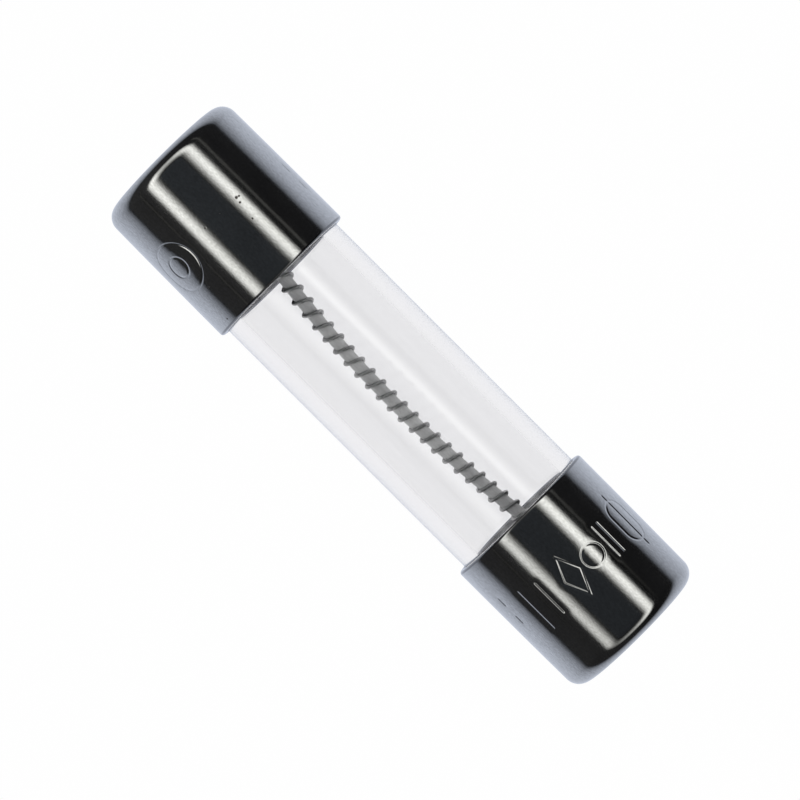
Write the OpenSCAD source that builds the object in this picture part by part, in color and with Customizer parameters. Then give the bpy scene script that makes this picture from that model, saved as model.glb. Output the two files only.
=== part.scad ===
// Miniature glass cartridge fuse, 5 x 20 mm, with a slow-blow wire-wound element.
// Millimetres. X runs along the fuse, Z is up, and the origin is the centre of the fuse.
// The fuse has no moving part: it is held by its two caps in a pair of spring clips.

/* [Whole fuse] */
// Overall length, over the flat ends of both caps
fuse_length = 20.3; // [19.5:0.1:20.5]

/* [End caps] */
// Outer diameter of a cap
cap_diameter = 5.1; // [5.0:0.05:5.3]
// Length of a cap, from its flat end to its mouth
cap_length = 5.08; // [4.6:0.02:5.6]
// Thickness of the drawn wall and floor
cap_wall = 0.2; // [0.18:0.01:0.24]
// Outer radius of the rounded edge round the flat end
cap_edge_radius = 0.5; // [0.4:0.05:0.7]
// Radius of the rounded lip at the mouth
cap_lip_radius = 0.1; // [0.08:0.02:0.16]

/* [Stamped marks] */
// Depth of the marks pressed into the caps
mark_depth = 0.02; // [0.02:0.01:0.05]
// Width of a mark's line
mark_line = 0.09; // [0.06:0.01:0.12]
// Height of the marks, measured along the fuse
mark_height = 1.6; // [1.2:0.1:1.8]

/* [Glass tube] */
// Outer diameter of the tube
tube_diameter = 4.6; // [4.5:0.05:4.6]
// Thickness of the glass
tube_wall = 0.52; // [0.4:0.02:0.6]
// Radius of the fire-polished rims
tube_rim_radius = 0.12; // [0.06:0.02:0.18]

/* [Fuse element] */
// Diameter of the fibre core
core_diameter = 0.4; // [0.3:0.02:0.5]
// Diameter of the fuse wire
wire_diameter = 0.11; // [0.08:0.01:0.14]
// Distance from one turn of the wire to the next, along the core
wire_pitch = 0.466; // [0.36:0.002:0.6]
// Turn of the winding about the core, at the middle of the fuse
wire_phase = -146; // [-180:1:180]
// How fast the winding closes up towards +X, in turns gained per turn squared
wire_drift = 0.00235; // [0:0.00005:0.004]
// How far the core bows away from the axis at the middle of the fuse
element_bow = 0.303; // [0.1:0.001:0.35]
// Distance from the middle at which the bowed core crosses the axis
bow_half_span = 4.84; // [4.4:0.01:5]

/* [Solder] */
// Gap between the tube's rim and the floor of the cap, filled with solder
solder_film = 0.12; // [0.06:0.02:0.2]
// Depth of the solder at the wall of the tube
solder_depth = 0.5; // [0.3:0.05:0.8]

/* [Hidden] */
$fn = 96;
eps = 0.01;

half_length = fuse_length / 2;
cap_radius = cap_diameter / 2;
cap_bore_radius = cap_radius - cap_wall;
inner_edge_radius = cap_edge_radius - cap_wall;
tube_radius = tube_diameter / 2;
tube_bore_radius = tube_radius - tube_wall;
tube_length = fuse_length - 2 * (cap_wall + solder_film);
core_radius = core_diameter / 2;
wire_radius = wire_diameter / 2;

// The core lies on an arc in the XY plane, whose centre is on +Y.
bow_radius = (bow_half_span * bow_half_span + element_bow * element_bow) / (2 * element_bow);
// The core stops short of the caps' floors, within the solder.
core_end_gap = 0.15;
core_half_angle = asin((half_length - cap_wall - core_end_gap) / bow_radius);
core_arc_length = 2 * bow_radius * core_half_angle * PI / 180;

// The winding keeps a hair's breadth off the core, so that its flat sides don't cut into it.
wire_clearance = 0.008;
winding_radius = core_radius + wire_radius + wire_clearance;
winding_length = core_arc_length - 2 * wire_diameter;
steps_per_turn = 14;
wire_sides = 6;
wire_steps = round(winding_length / wire_pitch * steps_per_turn);
// The hole that the wound core takes up in the solder
element_hole_radius = winding_radius + wire_radius + 0.02;

// The cement starts just inside the mouth and ends where the floor's corner begins.
cement_setback = 0.05;
cement_length = cap_length - cap_wall - inner_edge_radius - cement_setback;

// Places of the marks round a cap, in degrees from the top, positive towards +Y
left_mark_angle = -52;
left_dash_angle = 71;
fuse_symbol_angle = 57;
bar_pair_angle = 32;
ring_angle = 16;
rhombus_angle = -4;
short_bar_angle = -26;
long_bar_angle = -42;
right_dash_angle = -62;
mark_x = half_length - cap_length * 0.54;

// Turns a shape whose axis is Z so that it runs along X.
module along_x() {
    rotate([0, 90, 0]) children();
}

// Puts a shape made for the right-hand end at the left-hand end.
module at_left() {
    mirror([1, 0, 0]) children();
}

// Half outline of a cup: radius across, height up, closed and rounded at the bottom.
module cup_outline(radius, height, edge) {
    square([radius - edge, height]);
    translate([0, edge]) square([radius, height - edge]);
    translate([radius - edge, edge]) circle(r = edge);
}

// Half outline of a cap's wall and floor, with the rounded lip at the mouth.
module cap_outline() {
    difference() {
        cup_outline(cap_radius, cap_length, cap_edge_radius);
        translate([0, cap_wall]) cup_outline(cap_bore_radius, cap_length, inner_edge_radius);
        difference() {
            translate([cap_radius - cap_lip_radius, cap_length - cap_lip_radius])
                square(2 * cap_lip_radius);
            translate([cap_radius - cap_lip_radius, cap_length - cap_lip_radius])
                circle(r = cap_lip_radius);
        }
    }
}

// A plain cap at the right-hand end, with its mouth towards the middle.
module plain_cap() {
    translate([half_length, 0, 0]) rotate([0, -90, 0]) rotate_extrude() cap_outline();
}

// Flat marks, each centred on the origin, with the fuse's length along X.
module bar(length) {
    square([length, mark_line], center = true);
}

module ring(diameter) {
    difference() {
        circle(d = diameter);
        circle(d = diameter - 2 * mark_line);
    }
}

module slot_shape(length, width) {
    square([length - width, width], center = true);
    for (side = [-1, 1]) translate([side * (length - width) / 2, 0]) circle(d = width);
}

module fuse_symbol() {
    symbol_width = mark_height * 0.6;
    difference() {
        slot_shape(mark_height, symbol_width);
        slot_shape(mark_height - 2 * mark_line, symbol_width - 2 * mark_line);
    }
    bar(mark_height * 1.3);
}

module bar_pair() {
    for (side = [-1, 1]) translate([0, side * mark_line * 1.5]) bar(mark_height * 0.8);
}

module rhombus_shape(length, width) {
    polygon([[length / 2, 0], [0, width / 2], [-length / 2, 0], [0, -width / 2]]);
}

module rhombus() {
    long = mark_height * 1.1;
    wide = mark_height * 0.5;
    inner = 1 - 2 * mark_line * sqrt(long * long + wide * wide) / (long * wide);
    difference() {
        rhombus_shape(long, wide);
        rhombus_shape(long * inner, wide * inner);
    }
}

// Two short bars in line, nearer the mouth.
module dashes() {
    for (place = [-0.07, -0.53]) translate([place * mark_height, 0]) bar(mark_height * 0.24);
}

// Cuts a flat mark to mark_depth in a cap's barrel, angle degrees round from the top.
module press_in(angle) {
    intersection() {
        along_x() difference() {
            cylinder(r = cap_radius + 1, h = fuse_length);
            translate([0, 0, -eps]) cylinder(r = cap_radius - mark_depth, h = fuse_length + 2 * eps);
        }
        rotate([-angle, 0, 0]) translate([mark_x, 0, cap_radius - 0.5])
            linear_extrude(height = 1) children();
    }
}

module end_cap_left() {
    color("silver") at_left() difference() {
        plain_cap();
        press_in(left_mark_angle) ring(mark_height * 1.1);
        press_in(left_mark_angle) ring(mark_height * 0.5);
        press_in(left_dash_angle) dashes();
    }
}

module end_cap_right() {
    color("silver") difference() {
        plain_cap();
        press_in(fuse_symbol_angle) fuse_symbol();
        press_in(bar_pair_angle) bar_pair();
        press_in(ring_angle) ring(mark_height * 0.5);
        press_in(rhombus_angle) rhombus();
        press_in(short_bar_angle) bar(mark_height * 0.8);
        press_in(long_bar_angle) bar(mark_height);
        press_in(right_dash_angle) dashes();
    }
}

// Half outline of the tube's wall, with both rims rounded.
module tube_outline() {
    rim = tube_rim_radius;
    translate([tube_bore_radius, -tube_length / 2 + rim]) square([tube_wall, tube_length - 2 * rim]);
    translate([tube_bore_radius + rim, -tube_length / 2]) square([tube_wall - 2 * rim, tube_length]);
    for (across = [tube_bore_radius + rim, tube_radius - rim], end = [-1, 1])
        translate([across, end * (tube_length / 2 - rim)]) circle(r = rim);
}

module glass_tube() {
    color([0.9, 0.93, 0.95, 0.35]) along_x() rotate_extrude() tube_outline();
}

// A round bar of the given radius that follows the core's arc.
module bowed_bar(radius) {
    translate([0, bow_radius - element_bow, 0]) rotate([0, 0, -90 - core_half_angle])
        rotate_extrude(angle = 2 * core_half_angle) translate([bow_radius, 0]) circle(r = radius);
}

module element_core() {
    color("gray") bowed_bar(core_radius);
}

// Point on the core's centreline, at a distance along it from the middle.
function core_angle(along) = along / bow_radius * 180 / PI;
function core_point(along) =
    [bow_radius * sin(core_angle(along)), bow_radius * (1 - cos(core_angle(along))) - element_bow, 0];
// Unit vectors along the core and across it, in the XY plane.
function core_forward(along) = [cos(core_angle(along)), sin(core_angle(along)), 0];
function core_across(along) = [-sin(core_angle(along)), cos(core_angle(along)), 0];
up = [0, 0, 1];

// The winding is left-handed: seen along the core, it turns back as it goes forward.
function winding_angle(along) =
    let (turns = along / wire_pitch) wire_phase - 360 * (turns + wire_drift * turns * turns);
function winding_outward(along) =
    core_across(along) * cos(winding_angle(along)) + up * sin(winding_angle(along));
function winding_round(along) =
    core_across(along) * -sin(winding_angle(along)) + up * cos(winding_angle(along));
// Across the wire, at right angles to both the wire and the outward direction.
winding_climb = atan(2 * PI * winding_radius / wire_pitch);
function wire_sideways(along) =
    core_forward(along) * sin(winding_climb) + winding_round(along) * cos(winding_climb);
function wire_ring(along) = [
    for (side = [0:wire_sides - 1])
        let (turn = 360 * side / wire_sides)
        core_point(along)
            + winding_outward(along) * (winding_radius + wire_radius * cos(turn))
            + wire_sideways(along) * (wire_radius * sin(turn))
];

module fuse_wire() {
    points = [
        for (step = [0:wire_steps])
            each wire_ring(winding_length * (step / wire_steps - 0.5))
    ];
    sides = [
        for (step = [0:wire_steps - 1], side = [0:wire_sides - 1])
            let (here = step * wire_sides, next = (side + 1) % wire_sides)
            [here + side, here + wire_sides + side, here + wire_sides + next, here + next]
    ];
    last = wire_steps * wire_sides;
    ends = [
        [for (side = [0:wire_sides - 1]) side],
        [for (side = [wire_sides - 1:-1:0]) last + side]
    ];
    color("dimgray") polyhedron(points = points, faces = concat(sides, ends));
}

// Half outline of the solder: a film on the cap's floor, then a plug in the tube's end,
// whose hollow top climbs the core.
module solder_outline() {
    hollow_radius = tube_bore_radius - element_hole_radius - 0.05;
    plug_height = solder_film + solder_depth + hollow_radius;
    square([cap_bore_radius - inner_edge_radius, solder_film]);
    difference() {
        square([tube_bore_radius, plug_height]);
        translate([tube_bore_radius, plug_height]) circle(r = hollow_radius);
    }
}

module solder_right() {
    color("lightgray") difference() {
        translate([half_length - cap_wall, 0, 0]) rotate([0, -90, 0]) rotate_extrude() solder_outline();
        bowed_bar(element_hole_radius);
    }
}

module solder_left() {
    at_left() solder_right();
}

module cement_ring_right() {
    color("dimgray") translate([half_length - cap_length + cement_setback, 0, 0]) along_x() difference() {
        cylinder(r = cap_bore_radius, h = cement_length);
        translate([0, 0, -eps]) cylinder(r = tube_radius, h = cement_length + 2 * eps);
    }
}

module cement_ring_left() {
    at_left() cement_ring_right();
}

glass_tube();
end_cap_left();
end_cap_right();
element_core();
fuse_wire();
solder_left();
solder_right();
cement_ring_left();
cement_ring_right();
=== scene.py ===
import math

import bmesh
import bpy
import numpy as np
from mathutils import Matrix, Vector


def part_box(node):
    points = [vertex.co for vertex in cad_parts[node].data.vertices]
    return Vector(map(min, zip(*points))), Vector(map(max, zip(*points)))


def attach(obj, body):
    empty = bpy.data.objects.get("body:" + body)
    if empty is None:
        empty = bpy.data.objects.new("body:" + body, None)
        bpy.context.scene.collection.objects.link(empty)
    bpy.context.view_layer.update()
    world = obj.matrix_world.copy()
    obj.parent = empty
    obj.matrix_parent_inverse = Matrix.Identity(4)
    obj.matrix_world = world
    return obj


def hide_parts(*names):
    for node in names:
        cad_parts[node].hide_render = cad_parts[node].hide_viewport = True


# Looks for a miniature glass cartridge fuse: clear tube, two nickel-plated caps with stamped marks,
# and a wound fuse element that bows inside the tube. Everything is in metres, in the CAD model's frame:
# X along the fuse, Z up, origin at the fuse's centre.

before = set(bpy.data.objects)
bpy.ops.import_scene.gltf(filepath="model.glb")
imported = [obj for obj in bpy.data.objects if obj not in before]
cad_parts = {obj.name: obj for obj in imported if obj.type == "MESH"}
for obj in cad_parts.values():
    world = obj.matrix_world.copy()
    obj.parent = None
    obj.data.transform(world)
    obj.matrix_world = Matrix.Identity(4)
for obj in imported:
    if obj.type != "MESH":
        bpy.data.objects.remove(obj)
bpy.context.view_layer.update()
MM = 0.001

# ---------------------------------------------------------------- sizes
# These are the CAD model's, apart from the caps' taper, the winding's clearance and length, and the
# cement's crown and gap, which belong to the looks only.

HALF_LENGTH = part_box("end_cap_right")[1].x
CAP_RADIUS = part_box("end_cap_right")[1].y
MOUTH_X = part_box("end_cap_right")[0].x
CAP_LENGTH = HALF_LENGTH - MOUTH_X
CAP_WALL = 0.2 * MM
CAP_FLOOR_X = HALF_LENGTH - CAP_WALL
CAP_BORE = CAP_RADIUS - CAP_WALL
CAP_EDGE = 0.5 * MM
CAP_INNER_EDGE = CAP_EDGE - CAP_WALL
CAP_LIP = 0.1 * MM
CAP_TAPER = 0.025 * MM  # how much the drawn barrel narrows towards its closed end

TUBE_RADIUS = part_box("glass_tube")[1].y
TUBE_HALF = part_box("glass_tube")[1].x
TUBE_WALL = 0.52 * MM
TUBE_RIM = 0.12 * MM
TUBE_BORE = TUBE_RADIUS - TUBE_WALL

CORE_RADIUS = 0.2 * MM
BOW = 0.303 * MM  # how far the core bows away from the axis at the middle, towards -Y
BOW_HALF_SPAN = 4.84 * MM  # how far from the middle it crosses the axis
BOW_RADIUS = (BOW_HALF_SPAN**2 + BOW**2) / (2 * BOW)
CORE_END_GAP = 0.15 * MM
CORE_HALF = BOW_RADIUS * math.asin((CAP_FLOOR_X - CORE_END_GAP) / BOW_RADIUS)

WIRE_RADIUS = 0.055 * MM
WIRE_PITCH = 0.466 * MM
WIRE_PHASE = math.radians(-146)
WIRE_DRIFT = 0.00235  # turns gained per turn squared: the winding closes up a little towards +X
WIRE_CLEARANCE = 0.004 * MM  # half the CAD model's, because this wire is rounder
WINDING_RADIUS = CORE_RADIUS + WIRE_RADIUS + WIRE_CLEARANCE
WINDING_HALF = CORE_HALF - 4 * WIRE_RADIUS  # 0.11 mm less than in the CAD model, inside the solder

SOLDER_FILM = 0.12 * MM
SOLDER_DEPTH = 0.5 * MM
SOLDER_CLEARANCE = 0.07 * MM  # between the winding and the solder's hollow top
SOLDER_HOLLOW = TUBE_BORE - WINDING_RADIUS - WIRE_RADIUS - SOLDER_CLEARANCE
CEMENT_SETBACK = 0.05 * MM
CEMENT_CROWN = 0.02 * MM  # how far the cement bulges out of its gap
CEMENT_GAP = 0.002 * MM  # keeps the cement off the glass and the cap

MARK_X = HALF_LENGTH - CAP_LENGTH * 0.54
MARK_DEPTH = 0.02 * MM
MARK_LINE = 0.09 * MM
MARK_HEIGHT = 1.6 * MM

SIDES = {"left": -1, "right": 1}

# ---------------------------------------------------------------- camera

VIEW_WIDTH = 24.27 * MM  # what the frame covers, at the fuse
LENS = 204.0
SENSOR = 36.0
AIM_RIGHT, AIM_UP = -0.017 * MM, -0.141 * MM  # the frame's centre, from the fuse's
CAMERA_X = -0.8 * MM  # the camera stands a little towards the left cap


def make_camera():
    """Looks down on the fuse, turned so that +X runs to the lower right of the picture."""
    right = Vector((1, 1, 0)).normalized()
    up = Vector((-1, 1, 0)).normalized()
    aim = right * AIM_RIGHT + up * AIM_UP
    place = aim + Vector((CAMERA_X, 0, VIEW_WIDTH * LENS / SENSOR))
    back = (place - aim).normalized()
    right = up.cross(back).normalized()
    up = back.cross(right)
    data = bpy.data.cameras.new("camera")
    data.lens = LENS
    data.sensor_width = SENSOR
    data.clip_start, data.clip_end = 1 * MM, 3.0
    camera = bpy.data.objects.new("camera", data)
    bpy.context.scene.collection.objects.link(camera)
    turn = Matrix((right, up, back)).transposed().to_4x4()
    camera.matrix_world = Matrix.Translation(place) @ turn
    bpy.context.scene.camera = camera


make_camera()

# ---------------------------------------------------------------- mesh helpers


def new_piece(name, points, faces, material, node):
    """A smooth closed mesh that faces outwards, stands for a CAD node and rides on the one body."""
    mesh = bpy.data.meshes.new(name)
    mesh.from_pydata([tuple(p) for p in points], [], [tuple(f) for f in faces])
    mesh.validate()
    work = bmesh.new()
    work.from_mesh(mesh)
    bmesh.ops.recalc_face_normals(work, faces=work.faces)
    work.to_mesh(mesh)
    work.free()
    mesh.shade_smooth()
    mesh.materials.append(material)
    piece = bpy.data.objects.new(name, mesh)
    bpy.context.scene.collection.objects.link(piece)
    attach(piece, "root")
    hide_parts(node)


def arc(centre_x, centre_r, radius, start, stop, steps):
    """Points (x, r) on an arc, with angles in degrees from the X axis towards larger r."""
    turns = np.radians(np.linspace(start, stop, steps))
    return [(centre_x + radius * math.cos(t), centre_r + radius * math.sin(t)) for t in turns]


def steps_between(start, stop, size):
    """Evenly spaced values from start to stop, about size apart, ends included."""
    return np.linspace(start, stop, max(2, int(round(abs(stop - start) / size)) + 1))


def turns_round(step, fine_spans=(), fine_step=0.45):
    """Angles round the X axis in radians, about step degrees apart, and finer within the given spans."""
    edges = [-180.0]
    for low, high in fine_spans:
        edges += [low, high]
    edges.append(180.0)
    turns = []
    for index, (low, high) in enumerate(zip(edges, edges[1:])):
        turns += list(steps_between(low, high, fine_step if index % 2 else step)[:-1])
    return np.radians(turns)


def lathe(outline, turns, closed=False, sink=None):
    """Points and faces of an outline (x, r) turned about X. Angle 0 is +Z, positive towards +Y.

    An outline that isn't closed starts and ends on the axis. sink(x, r, turns) is how far a ring's
    points move towards the axis, as an array over the turns.
    """
    columns = len(turns)
    points, rings = [], []
    for x, r in outline:
        if r <= 0:
            rings.append([len(points)])
            points.append((x, 0.0, 0.0))
            continue
        depth = sink(x, r, turns) if sink else np.zeros(columns)
        rings.append(list(range(len(points), len(points) + columns)))
        points += list(zip(np.full(columns, x), (r - depth) * np.sin(turns), (r - depth) * np.cos(turns)))
    if closed:
        rings.append(rings[0])
    faces = []
    for low, high in zip(rings, rings[1:]):
        for here in range(columns):
            after = (here + 1) % columns
            if len(low) == 1:
                faces.append((low[0], high[after], high[here]))
            elif len(high) == 1:
                faces.append((low[here], low[after], high[0]))
            else:
                faces.append((low[here], low[after], high[after], high[here]))
    return points, faces


def sweep(path_points, forwards, upwards, radius, sides):
    """Points and faces of a capped tube along a path, its section measured from upwards."""
    turns = np.linspace(0, 2 * math.pi, sides, endpoint=False)
    sideways = np.cross(forwards, upwards)
    radius = np.broadcast_to(radius, (len(path_points), sides))
    ring = (
        path_points[:, None]
        + upwards[:, None] * (radius * np.cos(turns))[..., None]
        + sideways[:, None] * (radius * np.sin(turns))[..., None]
    )
    points = ring.reshape(-1, 3)
    faces = []
    for step in range(len(path_points) - 1):
        here, there = step * sides, (step + 1) * sides
        for side in range(sides):
            after = (side + 1) % sides
            faces.append((here + side, here + after, there + after, there + side))
    faces.append(tuple(range(sides - 1, -1, -1)))
    last = len(points) - sides
    faces.append(tuple(range(last, last + sides)))
    return points, faces


# ---------------------------------------------------------------- stamped marks
# Each mark is a distance, in metres, from the middle of its line: u runs along the fuse and v round
# the cap, both from the mark's centre.


def ring_line(diameter):
    return lambda u, v: np.abs(np.hypot(u, v) - (diameter - MARK_LINE) / 2)


def bar_line(length, u_offset=0.0, v_offset=0.0):
    half = (length - MARK_LINE) / 2
    return lambda u, v: np.hypot(np.maximum(np.abs(u - u_offset) - half, 0), v - v_offset)


def slot_line(length, width):
    half = (length - width) / 2
    return lambda u, v: np.abs(np.hypot(np.maximum(np.abs(u) - half, 0), v) - (width - MARK_LINE) / 2)


def rhombus_line(length, width):
    inset = 1 - MARK_LINE * math.hypot(length, width) / (length * width)
    long, wide = length * inset / 2, width * inset / 2
    reach = long * wide / math.hypot(long, wide)
    return lambda u, v: np.abs(np.abs(u) / long + np.abs(v) / wide - 1) * reach


def dash_lines(side):
    """Two short bars in line, nearer the mouth."""
    return [bar_line(MARK_HEIGHT * 0.24, side * place * MARK_HEIGHT) for place in (-0.07, -0.53)]


BAR_PAIR = [bar_line(MARK_HEIGHT * 0.8, 0, side * MARK_LINE * 1.5) for side in (-1, 1)]
FUSE_SYMBOL = [slot_line(MARK_HEIGHT, MARK_HEIGHT * 0.6), bar_line(MARK_HEIGHT * 1.3)]

# each mark's angle round from the top in degrees, half its width round the cap, and its lines
MARKS = {
    "left": [
        (-52, MARK_HEIGHT * 0.55, [ring_line(MARK_HEIGHT * 1.1), ring_line(MARK_HEIGHT * 0.5)]),
        (71, MARK_LINE, dash_lines(-1)),
    ],
    "right": [
        (-62, MARK_LINE, dash_lines(1)),
        (-42, MARK_LINE, [bar_line(MARK_HEIGHT)]),
        (-26, MARK_LINE, [bar_line(MARK_HEIGHT * 0.8)]),
        (-4, MARK_HEIGHT * 0.25, [rhombus_line(MARK_HEIGHT * 1.1, MARK_HEIGHT * 0.5)]),
        (16, MARK_HEIGHT * 0.25, [ring_line(MARK_HEIGHT * 0.5)]),
        (32, MARK_LINE * 2, BAR_PAIR),
        (57, MARK_HEIGHT * 0.3, FUSE_SYMBOL),
    ],
}
GROOVE_REACH = MARK_LINE * 0.62  # from the middle of a line to where its groove ends
DENT_REACH = 0.25 * MM  # the metal round a stamped line sinks a little too
DENT_SHARE = 0.25  # of a line's depth
SPAN_JOIN = 3  # degrees between two marks that are meshed as one


def falling(away, reach):
    """1 in the middle of a line, falling smoothly to 0 at reach."""
    return 0.5 + 0.5 * np.cos(math.pi * np.clip(away / reach, 0, 1))


def stamped(marks, x_centre):
    """How deep the marks press into the outside of the barrel, for lathe."""

    def sink(x, r, turns):
        depth = np.zeros(len(turns))
        if r < CAP_RADIUS - CAP_WALL / 2:
            return depth
        for angle, _, lines in marks:
            v = CAP_RADIUS * (turns - math.radians(angle))
            for line in lines:
                away = line(x - x_centre, v)
                groove, dent = falling(away, GROOVE_REACH), falling(away, DENT_REACH)
                depth = np.maximum(depth, MARK_DEPTH * (groove * (1 - DENT_SHARE) + dent * DENT_SHARE))
        return depth

    return sink


def marked_spans(marks):
    """The arcs, in degrees, that hold the marks, joined where they nearly meet."""
    spans = []
    for angle, half_width, _ in marks:
        half = math.degrees((half_width + DENT_REACH) / CAP_RADIUS)
        low, high = angle - half, angle + half
        if spans and low < spans[-1][1] + SPAN_JOIN:
            spans[-1][1] = high
        else:
            spans.append([low, high])
    return spans


# ---------------------------------------------------------------- material helpers


class Nodes:
    """The nodes of a material or a world, with short ways to add to them."""

    def __init__(self, owner):
        owner.use_nodes = True
        self.tree = owner.node_tree
        self.tree.nodes.clear()

    def new(self, kind, **inputs):
        """A new node with its inputs set. An underscore in an input's name stands for a space."""
        node = self.tree.nodes.new(kind)
        for name, value in inputs.items():
            node.inputs[name.replace("_", " ")].default_value = value
        return node

    def link(self, source, target):
        self.tree.links.new(source, target)

    def position(self, stretch=(1, 1, 1)):
        """The surface's own coordinates in millimetres, times stretch along X, Y and Z."""
        mapping = self.new("ShaderNodeMapping", Scale=[s / MM for s in stretch])
        self.link(self.new("ShaderNodeTexCoord").outputs["Object"], mapping.inputs["Vector"])
        return mapping.outputs["Vector"]

    def noise(self, scale, detail, roughness=0.5, stretch=(1, 1, 1)):
        """A 0 to 1 noise with about scale swells to the millimetre."""
        node = self.new("ShaderNodeTexNoise", Scale=scale, Detail=detail, Roughness=roughness)
        self.link(self.position(stretch), node.inputs["Vector"])
        return node.outputs["Fac"]

    def split(self, vector):
        """The X, Y and Z of a vector or a colour."""
        node = self.new("ShaderNodeSeparateXYZ")
        self.link(vector, node.inputs["Vector"])
        return node.outputs

    def ramp(self, source, *stops):
        """A colour ramp with (position, grey or colour) stops."""
        node = self.new("ShaderNodeValToRGB")
        self.link(source, node.inputs["Fac"])
        while len(node.color_ramp.elements) < len(stops):
            node.color_ramp.elements.new(0.5)
        for element, (position, colour) in zip(node.color_ramp.elements, stops):
            element.position = position
            if not isinstance(colour, tuple):
                colour = (colour, colour, colour)
            element.color = (*colour, 1)
        return node.outputs["Color"]

    def tones(self, noise, dark, light):
        """A colour from dark to light over the middle of a noise, where most of it lies."""
        return self.ramp(noise, (0.3, dark), (0.7, light))

    def spread(self, source, span, values):
        """The two values at the ends of a span of the source, and evenly in between."""
        node = self.new("ShaderNodeMapRange", From_Min=span[0], From_Max=span[1])
        node.inputs["To Min"].default_value, node.inputs["To Max"].default_value = values
        self.link(source, node.inputs["Value"])
        return node.outputs["Result"]

    def maths(self, operation, *values):
        """The result of one operation on values that are numbers or sockets."""
        node = self.new("ShaderNodeMath")
        node.operation = operation
        for socket, value in zip(node.inputs, values):
            if isinstance(value, (int, float)):
                socket.default_value = value
            else:
                self.link(value, socket)
        return node.outputs["Value"]

    def total(self, *terms):
        """The sum of sockets, each given with its share."""
        parts = [self.maths("MULTIPLY", source, share) for source, share in terms]
        total = parts[0]
        for part in parts[1:]:
            total = self.maths("ADD", total, part)
        return total

    def mixed(self, share, first, second):
        """A colour between two others, each given as a colour or as a socket."""
        node = self.new("ShaderNodeMix")
        node.data_type = "RGBA"
        self.link(share, node.inputs[0])
        for socket, value in ((node.inputs[6], first), (node.inputs[7], second)):
            if isinstance(value, tuple):
                socket.default_value = (*value, 1)
            else:
                self.link(value, socket)
        return node.outputs[2]

    def bump(self, shader, height, strength, distance):
        """Gives a shader the relief of a height."""
        node = self.new("ShaderNodeBump", Strength=strength, Distance=distance)
        self.link(height, node.inputs["Height"])
        self.link(node.outputs["Normal"], shader.inputs["Normal"])

    def mixed_shader(self, share, first, second):
        """A mix of two shaders."""
        node = self.new("ShaderNodeMixShader")
        self.link(share, node.inputs["Fac"])
        self.link(first.outputs[0], node.inputs[1])
        self.link(second.outputs[0], node.inputs[2])
        return node

    def show(self, shader, output="ShaderNodeOutputMaterial"):
        self.link(shader.outputs[0], self.new(output).inputs["Surface"])


def new_material(name):
    material = bpy.data.materials.new(name)
    return material, Nodes(material)


SPECK_MIDDLE, SPOT_MIDDLE = 0.6, 0.5  # the share of a speck's and of a spot's radius that is solid


def specks(nodes, per_mm, radius, share):
    """A 0 to 1 mask of small round specks: per_mm cells to the millimetre, a share of them with one."""
    cells = nodes.new("ShaderNodeTexVoronoi", Scale=per_mm)
    nodes.link(nodes.position(), cells.inputs["Vector"])
    size = radius / MM * per_mm
    near = nodes.spread(cells.outputs["Distance"], (size * SPECK_MIDDLE, size), (1, 0))
    chance = nodes.split(cells.outputs["Color"])["X"]
    return nodes.maths("MULTIPLY", near, nodes.maths("LESS_THAN", chance, share))


def spot(nodes, place, radius):
    """A 0 to 1 mask of one small round spot at a place given in millimetres."""
    away = nodes.new("ShaderNodeVectorMath")
    away.operation = "DISTANCE"
    nodes.link(nodes.position(), away.inputs[0])
    away.inputs[1].default_value = place
    return nodes.spread(away.outputs["Value"], (radius * SPOT_MIDDLE, radius), (1, 0))


# ---------------------------------------------------------------- materials

# pits in the left cap's plating, in millimetres, and their radii
PITS = [((-7.64, 0.708, 2.45), 0.065), ((-7.46, 0.68, 2.457), 0.05), ((-6.37, -1.78, 1.826), 0.05)]
PIT_METAL = (0.16, 0.15, 0.14)
LIP_METAL = (0.27, 0.27, 0.27)  # the plate is thin and dull where the cap was cut off
LIP_SPAN = [(MOUTH_X + CAP_LIP * share) / MM for share in (0.6, 0.95)]  # over which it turns bright
DUST = (0.5, 0.5, 0.5)
GLASS_PAINTED_SHADE = (0.86, 0.862, 0.867)  # painted shade: the glass's colour turns a little greyer where its wall slants away from the eye
PAINTED_SHADE_SLANTS = [(0.125, 0), (0.195, 1), (0.33, 1), (0.42, 0.35)]  # the share of that painted shade, from face-on to edge-on


def nickel_material():
    """Bright nickel plate on drawn brass: draw lines, faint haze, a few dark pits, dull at the mouth."""
    material, nodes = new_material("nickel_plate")
    shader = nodes.new("ShaderNodeBsdfPrincipled", Metallic=1.0)
    haze = nodes.noise(1.6, detail=5.0, roughness=0.6, stretch=(0.35, 1, 1))
    drawn = nodes.noise(18.0, detail=3.0, roughness=0.6, stretch=(0.05, 1, 1))
    grain = nodes.noise(16.0, detail=2.0, roughness=0.7, stretch=(0.6, 1, 1))
    pits = specks(nodes, per_mm=1.3, radius=0.04 * MM, share=0.12)
    for place, radius in PITS:
        pits = nodes.maths("MAXIMUM", pits, spot(nodes, place, radius))
    cloud = nodes.total((haze, 0.35), (grain, 0.65))
    plate = nodes.tones(cloud, (0.51, 0.51, 0.497), (0.75, 0.755, 0.745))
    lip = nodes.spread(nodes.maths("ABSOLUTE", nodes.split(nodes.position())["X"]), LIP_SPAN, (1, 0))
    plate = nodes.mixed(lip, plate, LIP_METAL)
    nodes.link(nodes.mixed(pits, plate, PIT_METAL), shader.inputs["Base Color"])
    hazy = nodes.spread(haze, (0, 1), (0.05, 0.13))
    rough = nodes.maths("ADD", hazy, nodes.spread(drawn, (0, 1), (-0.02, 0.03)))
    rough = nodes.maths("MAXIMUM", rough, nodes.maths("MULTIPLY", pits, 0.5))
    nodes.link(rough, shader.inputs["Roughness"])
    height = nodes.total((cloud, 0.5), (grain, 0.2), (drawn, 0.06), (pits, -1))
    nodes.bump(shader, height, strength=0.35, distance=0.004 * MM)
    nodes.show(shader)
    return material


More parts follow.
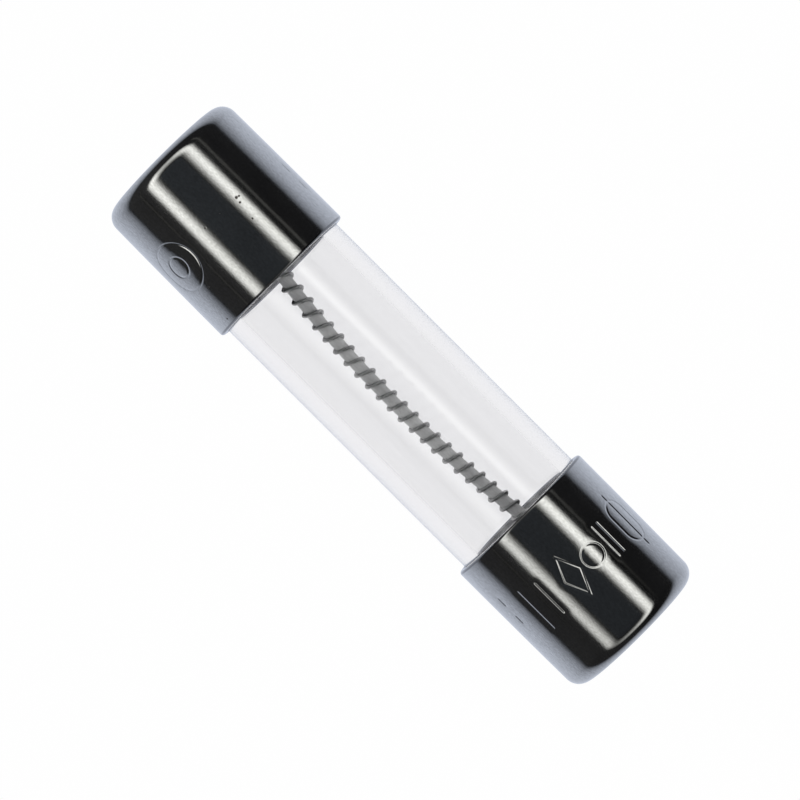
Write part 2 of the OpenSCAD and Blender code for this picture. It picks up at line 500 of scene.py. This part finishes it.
def glass_material():
    """Clear tube glass with faint draw lines, a little dust and painted shade where its wall slants away.
    Lamps shine through it.
    """
    material, nodes = new_material("clear_glass")
    shader = nodes.new("ShaderNodeBsdfPrincipled", Roughness=0.0, IOR=1.5, Transmission_Weight=1.0)
    path = nodes.new("ShaderNodeLightPath").outputs
    lines = nodes.noise(3.0, detail=3.0, stretch=(0.05, 1, 1))
    tint = nodes.tones(lines, (0.965, 0.967, 0.972), (0.985, 0.987, 0.99))
    # painted shade: for rays from the eye only, the tint is mixed towards grey by how far the wall slants
    # away
    facing = nodes.new("ShaderNodeLayerWeight").outputs["Facing"]
    painted_shade = nodes.maths("MULTIPLY", nodes.ramp(facing, *PAINTED_SHADE_SLANTS), path["Is Camera Ray"])
    tint = nodes.mixed(painted_shade, tint, GLASS_PAINTED_SHADE)
    dust = specks(nodes, per_mm=0.9, radius=0.022 * MM, share=0.35)
    nodes.link(nodes.mixed(dust, tint, DUST), shader.inputs["Base Color"])
    nodes.bump(shader, lines, strength=0.2, distance=0.002 * MM)
    clear = nodes.new("ShaderNodeBsdfTransparent", Color=(0.97, 0.972, 0.975, 1))
    lit_through = nodes.maths("MAXIMUM", path["Is Shadow Ray"], path["Is Diffuse Ray"])
    nodes.show(nodes.mixed_shader(lit_through, shader, clear))
    return material


def core_material():
    """Twisted glass fibre cord, grey and slightly silky."""
    material, nodes = new_material("fibre_core")
    shader = nodes.new("ShaderNodeBsdfPrincipled")
    fibres = nodes.noise(30.0, detail=4.0, roughness=0.6, stretch=(0.15, 1, 1))
    blotches = nodes.noise(1.5, detail=2.0)
    mottled = nodes.total((fibres, 0.5), (blotches, 0.5))
    tint = nodes.tones(mottled, (0.42, 0.42, 0.425), (0.74, 0.74, 0.74))
    nodes.link(tint, shader.inputs["Base Color"])
    nodes.link(nodes.spread(fibres, (0, 1), (0.45, 0.75)), shader.inputs["Roughness"])
    nodes.bump(shader, fibres, strength=0.6, distance=0.006 * MM)
    nodes.show(shader)
    return material


def wire_material():
    """Fine drawn fuse wire, tarnished dark."""
    material, nodes = new_material("fuse_wire")
    shader = nodes.new("ShaderNodeBsdfPrincipled", Metallic=1.0)
    tarnish = nodes.noise(6.0, detail=4.0, roughness=0.6)
    tint = nodes.tones(tarnish, (0.33, 0.33, 0.335), (0.53, 0.53, 0.53))
    nodes.link(tint, shader.inputs["Base Color"])
    nodes.link(nodes.spread(tarnish, (0, 1), (0.35, 0.6)), shader.inputs["Roughness"])
    nodes.show(shader)
    return material


def solder_material():
    """Bright solder that has flowed and set: smooth swells, slightly frosted."""
    material, nodes = new_material("solder")
    shader = nodes.new("ShaderNodeBsdfPrincipled", Metallic=1.0)
    flow = nodes.noise(1.4, detail=3.0)
    tint = nodes.tones(flow, (0.52, 0.52, 0.53), (0.68, 0.68, 0.69))
    nodes.link(tint, shader.inputs["Base Color"])
    nodes.link(nodes.spread(flow, (0, 1), (0.2, 0.4)), shader.inputs["Roughness"])
    nodes.bump(shader, flow, strength=0.6, distance=0.05 * MM)
    nodes.show(shader)
    return material


def cement_material():
    """Thin grey cement, matt and grainy."""
    material, nodes = new_material("cement")
    shader = nodes.new("ShaderNodeBsdfPrincipled", Roughness=0.85)
    grain = nodes.noise(9.0, detail=4.0, roughness=0.7)
    tint = nodes.tones(grain, (0.32, 0.315, 0.33), (0.48, 0.475, 0.495))
    nodes.link(tint, shader.inputs["Base Color"])
    nodes.bump(shader, grain, strength=0.5, distance=0.01 * MM)
    nodes.show(shader)
    return material


NICKEL, GLASS, CORE = nickel_material(), glass_material(), core_material()
WIRE, SOLDER, CEMENT = wire_material(), solder_material(), cement_material()

# ---------------------------------------------------------------- pieces

FLAT_STEP = 0.12 * MM  # between the rings of a cap's flat end
PLAIN_STEP = 0.15 * MM  # between the rings of its barrel
MARKED_STEP = 0.02 * MM  # the same where the marks are
MARKED_HALF = MARK_HEIGHT * 0.72  # half the length of the marked stretch
LONG_STEP = 0.5 * MM  # between the rings of a plain straight stretch


def cap_outline():
    """Outline (x, r) of the right-hand cap, from the outer centre of its flat end round to the inner."""
    inner_x = CAP_FLOOR_X - CAP_INNER_EDGE
    flat = [(HALF_LENGTH, r) for r in steps_between(0, CAP_RADIUS - CAP_EDGE, FLAT_STEP)]
    barrel = [
        *steps_between(HALF_LENGTH - CAP_EDGE, MARK_X + MARKED_HALF, PLAIN_STEP)[1:],
        *steps_between(MARK_X + MARKED_HALF, MARK_X - MARKED_HALF, MARKED_STEP)[1:],
        *steps_between(MARK_X - MARKED_HALF, MOUTH_X + CAP_LIP, PLAIN_STEP)[1:],
    ]
    return [
        *flat,
        *arc(HALF_LENGTH - CAP_EDGE, CAP_RADIUS - CAP_TAPER - CAP_EDGE, CAP_EDGE, 0, 90, steps=25)[1:],
        *[(x, CAP_RADIUS - CAP_TAPER * ((x - MOUTH_X) / (CAP_LENGTH - CAP_EDGE)) ** 2) for x in barrel],
        *arc(MOUTH_X + CAP_LIP, CAP_RADIUS - CAP_LIP, CAP_LIP, 90, 180, steps=13)[1:],
        (MOUTH_X, CAP_BORE),
        *[(x, CAP_BORE) for x in steps_between(MOUTH_X, inner_x, LONG_STEP)[1:]],
        *arc(inner_x, CAP_BORE - CAP_INNER_EDGE, CAP_INNER_EDGE, 90, 0, steps=9)[1:],
        *[(CAP_FLOOR_X, r) for r in steps_between(CAP_BORE - CAP_INNER_EDGE, 0, LONG_STEP)[1:]],
    ]


def at_end(side, outline):
    """An outline made for the right-hand end, at the given end."""
    return [(SIDES[side] * x, r) for x, r in outline]


def make_cap(side):
    marks = MARKS[side]
    turns = turns_round(step=2.5, fine_spans=marked_spans(marks))
    points, faces = lathe(at_end(side, cap_outline()), turns, sink=stamped(marks, SIDES[side] * MARK_X))
    node = f"end_cap_{side}"
    new_piece(f"{node}_nickel", points, faces, NICKEL, node)


def make_tube():
    end, inner, outer = TUBE_HALF - TUBE_RIM, TUBE_BORE + TUBE_RIM, TUBE_RADIUS - TUBE_RIM
    outline = [
        *[(x, TUBE_RADIUS) for x in steps_between(-end, end, LONG_STEP)],
        *arc(end, outer, TUBE_RIM, 90, 0, steps=9)[1:],
        *arc(end, inner, TUBE_RIM, 0, -90, steps=9),
        *[(x, TUBE_BORE) for x in steps_between(end, -end, LONG_STEP)[1:]],
        *arc(-end, inner, TUBE_RIM, -90, -180, steps=9)[1:],
        *arc(-end, outer, TUBE_RIM, 180, 90, steps=9)[:-1],
    ]
    points, faces = lathe(outline, turns_round(step=1.0), closed=True)
    new_piece("glass_tube_clear", points, faces, GLASS, "glass_tube")


def core_path(along):
    """Points, forward and across directions of the core's arc, at distances from its middle."""
    turn = along / BOW_RADIUS
    zero = np.zeros_like(turn)
    points = np.stack([BOW_RADIUS * np.sin(turn), BOW_RADIUS * (1 - np.cos(turn)) - BOW, zero], 1)
    forward = np.stack([np.cos(turn), np.sin(turn), zero], 1)
    across = np.stack([-np.sin(turn), np.cos(turn), zero], 1)
    return points, forward, across


CORE_SIDES = 56
CORE_STEP = 0.04 * MM
STRANDS = 7
STRAND_TWIST = 2 * math.pi / (1.6 * MM)  # a strand goes once round the core in 1.6 mm
STRAND_RELIEF = 0.05  # depth of the grooves between strands, as a share of the core's radius


def make_core():
    """A cord of twisted strands: its section is slightly lobed, and the lobes run round it."""
    along = steps_between(-CORE_HALF, CORE_HALF, CORE_STEP)
    points, forward, across = core_path(along)
    sides = np.linspace(0, 2 * math.pi, CORE_SIDES, endpoint=False)
    lobes = np.abs(np.sin((sides[None] + (along * STRAND_TWIST)[:, None]) * STRANDS / 2))
    radius = CORE_RADIUS * (1 - STRAND_RELIEF * (1 - lobes) ** 2)
    points, faces = sweep(points, forward, across, radius, CORE_SIDES)
    new_piece("element_core_cord", points, faces, CORE, "element_core")


WIRE_SIDES = 12
WIRE_STEPS = 36  # to a turn


def make_wire():
    """The winding: an open left-handed helix round the core's arc."""
    along = steps_between(-WINDING_HALF, WINDING_HALF, WIRE_PITCH / WIRE_STEPS)
    points, _, across = core_path(along)
    turns = along / WIRE_PITCH
    turn = WIRE_PHASE - 2 * math.pi * (turns + WIRE_DRIFT * turns**2)
    up = np.array([0.0, 0.0, 1.0])
    outward = across * np.cos(turn)[:, None] + up * np.sin(turn)[:, None]
    centre = points + outward * WINDING_RADIUS
    heading = np.gradient(centre, axis=0)
    heading /= np.linalg.norm(heading, axis=1)[:, None]
    points, faces = sweep(centre, heading, outward, WIRE_RADIUS, WIRE_SIDES)
    new_piece("fuse_wire_winding", points, faces, WIRE, "fuse_wire")


def make_solder(side):
    """A film on the cap's floor and a plug in the tube's end, whose hollow top climbs the core."""
    top = SOLDER_FILM + SOLDER_DEPTH + SOLDER_HOLLOW
    film_radius = CAP_BORE - CAP_INNER_EDGE
    climb = [
        (top - SOLDER_HOLLOW * math.cos(turn), TUBE_BORE - SOLDER_HOLLOW * math.sin(turn))
        for turn in np.linspace(0, math.pi / 2, 17)
    ]
    levels = [
        (0, 0), (0, 1.0 * MM), (0, film_radius), (SOLDER_FILM, film_radius),
        (SOLDER_FILM, TUBE_BORE - 0.001 * MM), *climb, (top, CORE_RADIUS), (top, 0),
    ]
    outline = [(CAP_FLOOR_X - level, r) for level, r in levels]
    points, faces = lathe(at_end(side, outline), turns_round(step=4.0))
    node = f"solder_{side}"
    new_piece(f"{node}_pool", points, faces, SOLDER, node)


def make_cement(side):
    """The thin ring of cement that fills the gap between tube and cap."""
    start, stop = MOUTH_X + CEMENT_SETBACK, HALF_LENGTH - CAP_EDGE
    inner, outer = TUBE_RADIUS + CEMENT_GAP, CAP_BORE - CEMENT_GAP
    outline = [
        (start, inner), (start - CEMENT_CROWN, (inner + outer) / 2), (start, outer),
        *[(x, outer) for x in steps_between(start, stop, 0.4 * MM)[1:]],
        *[(x, inner) for x in steps_between(stop, start, 0.4 * MM)[:-1]],
    ]
    points, faces = lathe(at_end(side, outline), turns_round(step=2.0), closed=True)
    node = f"cement_ring_{side}"
    new_piece(f"{node}_bond", points, faces, CEMENT, node)


for end in SIDES:
    make_cap(end)
make_tube()
make_core()
make_wire()
for end in SIDES:
    make_solder(end)
    make_cement(end)

# ---------------------------------------------------------------- floor and light

FLOOR_Z = -CAP_RADIUS
FLOOR_REACH = 0.95  # half its width
PAPER = (0.995, 0.995, 0.995)  # what the bright floor and the backdrop show to the eye
THROUGH_GLASS = (0.94, 0.934, 0.945)  # the same behind the glass
GLOW_NEAR = (0.755, 0.808, 0.94)  # the floor beside the fuse, as the metal mirrors it
GLOW_REACH = 14 * MM  # how far out that light has halved
GLOW_POWER = 1.3  # how sharply it falls there
GLOW_SPAN = 8 * MM  # half the length of the line that the distance is measured from


def floor_material():
    """A pale lit table, see-through from below. In the metal, its light fades away from the fuse."""
    material, nodes = new_material("floor")
    glow = nodes.new("ShaderNodeEmission")
    where = nodes.new("ShaderNodeNewGeometry").outputs
    point = nodes.split(where["Position"])
    beyond = nodes.maths("SUBTRACT", nodes.maths("ABSOLUTE", point["X"]), GLOW_SPAN)
    out = nodes.new("ShaderNodeCombineXYZ")
    nodes.link(nodes.maths("MAXIMUM", beyond, 0.0), out.inputs["X"])
    nodes.link(point["Y"], out.inputs["Y"])
    distance = nodes.new("ShaderNodeVectorMath")
    distance.operation = "LENGTH"
    nodes.link(out.outputs["Vector"], distance.inputs[0])
    share = nodes.maths("DIVIDE", distance.outputs["Value"], GLOW_REACH)
    fade = nodes.maths("ADD", nodes.maths("POWER", share, GLOW_POWER), 1.0)
    in_metal = nodes.mixed(nodes.maths("DIVIDE", 1.0, fade), (0, 0, 0), GLOW_NEAR)
    path = nodes.new("ShaderNodeLightPath").outputs
    indirect = nodes.mixed(path["Is Transmission Ray"], in_metal, THROUGH_GLASS)
    nodes.link(nodes.mixed(path["Is Glossy Ray"], PAPER, indirect), glow.inputs["Color"])
    nodes.show(nodes.mixed_shader(where["Backfacing"], glow, nodes.new("ShaderNodeBsdfTransparent")))
    return material


def add_stage(name, points, faces, material):
    mesh = bpy.data.meshes.new(name)
    mesh.from_pydata(points, [], faces)
    mesh.materials.append(material)
    item = bpy.data.objects.new(name, mesh)
    bpy.context.scene.collection.objects.link(item)
    return item


def make_floor():
    corners = [(-1, -1), (1, -1), (1, 1), (-1, 1)]
    points = [(FLOOR_REACH * x, FLOOR_REACH * y, FLOOR_Z) for x, y in corners]
    add_stage("floor", points, [(0, 1, 2, 3)], floor_material())


LAMP_HEIGHT = 60 * MM
LAMP_COLOUR = (1.0, 1.0, 0.97, 1)
# The rest is in shares of the lamps' height, measured from the point overhead.
RING_CENTRE = (0.115, -0.052)
RING_REACH = (1.165, 0.760)  # half its length and half its width, to the middle of the lit band
RING_SQUARE = 0.65  # 1 for an oval, less for a squarer ring
RING_WIDENING = 0.08  # how much wider it gets from the middle towards +X, as a share
RING_BAND = (0.6, 0.332)  # half the width of the lit band, at the ends and at the sides
RING_BAND_SIDE = 0.05  # the +Y side's band is this much narrower than the mean
RING_GLOW = (0.60, 1.17)  # at the ends and at the sides
RING_GLOW_POWER = 1.7  # how soon the glow of the ends becomes that of the sides
RING_SIDE = 0.154  # the +Y side is this much brighter than the mean, and the -Y side dimmer
RING_FADE = 1.0  # how fast the -Y side dims towards +X
RING_STEPS = 192
LINE_BAND = 0.2  # half the width of the faint lines beside the ring
# where each line lies across the fuse, then its places along the fuse with its glow at each
LINES = [
    (1.40, [(-1.5, 0.075), (0.1, 0.075), (0.32, 0.02)]),
    (-1.86, [(-1.5, 0.055), (0.0, 0.055), (0.3, 0.034)]),
]
ACROSS = np.linspace(-1, 1, 13)  # the places across a lamp's band, from edge to edge


def lamp_material():
    """A plain lamp, whose strength is painted on its mesh."""
    material, nodes = new_material("lamp")
    glow = nodes.new("ShaderNodeEmission", Color=LAMP_COLOUR)
    painted = nodes.new("ShaderNodeAttribute")
    painted.attribute_name = "glow"
    nodes.link(painted.outputs["Fac"], glow.inputs["Strength"])
    nodes.show(glow)
    return material


def add_lamp(name, places, glow, material):
    """A flat lamp overhead from rows of places across it, brightest in the middle of each row."""
    rows, columns = places.shape[:2]
    points = np.concatenate([places, np.ones((rows, columns, 1))], 2).reshape(-1, 3) * LAMP_HEIGHT
    faces = []
    for row in range(rows - 1):
        for column in range(columns - 1):
            here = row * columns + column
            faces.append((here, here + 1, here + columns + 1, here + columns))
    lamp = add_stage(name, [tuple(point) for point in points], faces, material)
    painted = lamp.data.attributes.new("glow", "FLOAT", "POINT")
    painted.data.foreach_set("value", (glow[:, None] * (1 - ACROSS**2) ** 2).ravel())
    lamp.visible_camera = False


def make_lamps():
    """A long ring lamp, mirrored as two bars that meet at each cap's end, and faint lines beside it."""
    material = lamp_material()
    turn = np.linspace(0, 2 * math.pi, RING_STEPS + 1)
    along, across = [np.sign(v) * np.abs(v) ** RING_SQUARE for v in (np.cos(turn), np.sin(turn))]
    reach_x = RING_REACH[0] + RING_BAND[0] * ACROSS
    reach_y = RING_REACH[1] + RING_BAND[1] * (1 - RING_BAND_SIDE * across[:, None]) * ACROSS
    x = RING_CENTRE[0] + reach_x * along[:, None]
    y = RING_CENTRE[1] + reach_y * (across * (1 + RING_WIDENING * along))[:, None]
    sides = np.abs(across) ** RING_GLOW_POWER
    glow = RING_GLOW[0] + (RING_GLOW[1] - RING_GLOW[0]) * sides
    slant = RING_SIDE * across - RING_FADE * along * ((1 - across) / 2) ** 2 * np.where(along > 0, 1, sides)
    add_lamp("ring_lamp", np.stack([x, y], 2), glow * (1 + slant), material)
    for index, (line_y, stations) in enumerate(LINES):
        line = [[(station, line_y + LINE_BAND * a) for a in ACROSS] for station, _ in stations]
        strengths = np.array([strength for _, strength in stations])
        add_lamp(f"line_lamp_{index}", np.array(line), strengths, material)


ROOM_TOP = (0.028, 0.031, 0.035)
ROOM_MINUS_Y = (0.026, 0.026, 0.027)
ROOM_PLUS_Y = (0.012, 0.012, 0.013)
ROOM_AHEAD = (1.18, 0.72)  # how the room dims from -X to +X
ROOM_FILL = (0.62, 0.62, 0.62)
# Spans of a direction's X, Y or Z over which the room changes.
TURN_X, TURN_Y, TURN_TOP = (-0.2, 0.2), (-0.5, 0.5), (0.75, 0.9)
BACKDROP_TOP = (0.1, 0.25)  # how high up the pale backdrop ends, as the glass shows it


def make_room():
    """A dim room to the metal and a soft even light to everything else; the eye sees the pale backdrop."""
    world = bpy.data.worlds.new("room")
    bpy.context.scene.world = world
    nodes = Nodes(world)
    toward = nodes.split(nodes.new("ShaderNodeTexCoord").outputs["Generated"])
    path = nodes.new("ShaderNodeLightPath").outputs
    walls = nodes.mixed(nodes.spread(toward["Y"], TURN_Y, (0, 1)), ROOM_MINUS_Y, ROOM_PLUS_Y)
    room = nodes.mixed(nodes.spread(toward["Z"], TURN_TOP, (0, 1)), walls, ROOM_TOP)
    dimming = nodes.new("ShaderNodeVectorMath")
    dimming.operation = "SCALE"
    nodes.link(room, dimming.inputs[0])
    nodes.link(nodes.spread(toward["X"], TURN_X, ROOM_AHEAD), dimming.inputs["Scale"])
    soft = nodes.mixed(path["Is Diffuse Ray"], dimming.outputs["Vector"], ROOM_FILL)
    low = nodes.spread(toward["Z"], BACKDROP_TOP, (1, 0))
    through = nodes.maths("MULTIPLY", path["Is Transmission Ray"], low)
    soft = nodes.mixed(through, soft, THROUGH_GLASS)
    back = nodes.new("ShaderNodeBackground")
    nodes.link(nodes.mixed(path["Is Camera Ray"], soft, PAPER), back.inputs["Color"])
    nodes.show(back, "ShaderNodeOutputWorld")


make_floor()
make_lamps()
make_room()
bpy.context.scene.view_settings.view_transform = "Standard"
